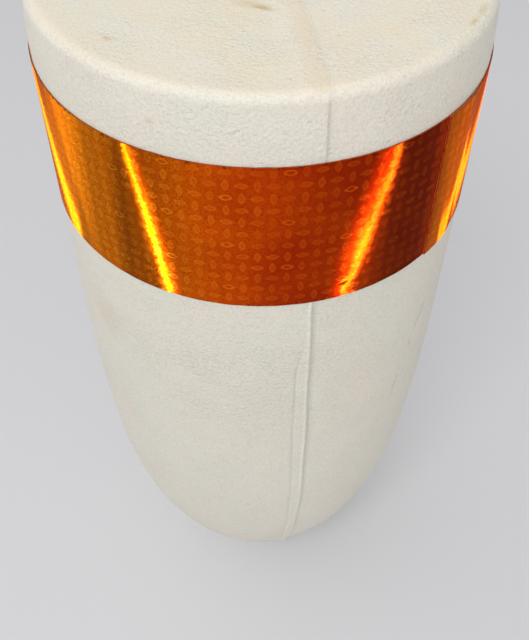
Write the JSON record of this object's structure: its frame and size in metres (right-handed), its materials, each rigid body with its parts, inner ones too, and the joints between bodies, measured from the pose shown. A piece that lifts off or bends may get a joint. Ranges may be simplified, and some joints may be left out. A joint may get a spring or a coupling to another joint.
{
  "type": "driveway snow marker float",
  "caption": "Bullet-shaped moulded foam float on a plastic core tube, banded near its flat end with orange prismatic reflective tape, for marking a driveway edge in snow.",
  "frame": {"origin": "centre of the nose's flat foot, on the surface that the float stands on", "axes": "+Z along the bore axis towards the flat end, -Y towards the front, with the mould's parting line and the tape's end to the right of the front, towards +X"},
  "size_m": [0.1328, 0.1328, 0.287],
  "materials": {
    "foam": "ivory moulded closed-cell foam with a fine bead skin",
    "tube_plastic": "satin white extruded plastic",
    "adhesive": "matt pressure-sensitive adhesive",
    "prism_sheet": "orange microprismatic sheet",
    "face_film": "glossy orange face film"
  },
  "bodies": {
    "root": {"float_body": "foam", "core_tube": "tube_plastic", "tape_adhesive": "adhesive", "tape_prism_layer": "prism_sheet", "tape_face_film": "face_film"}
  },
  "joints": []
}
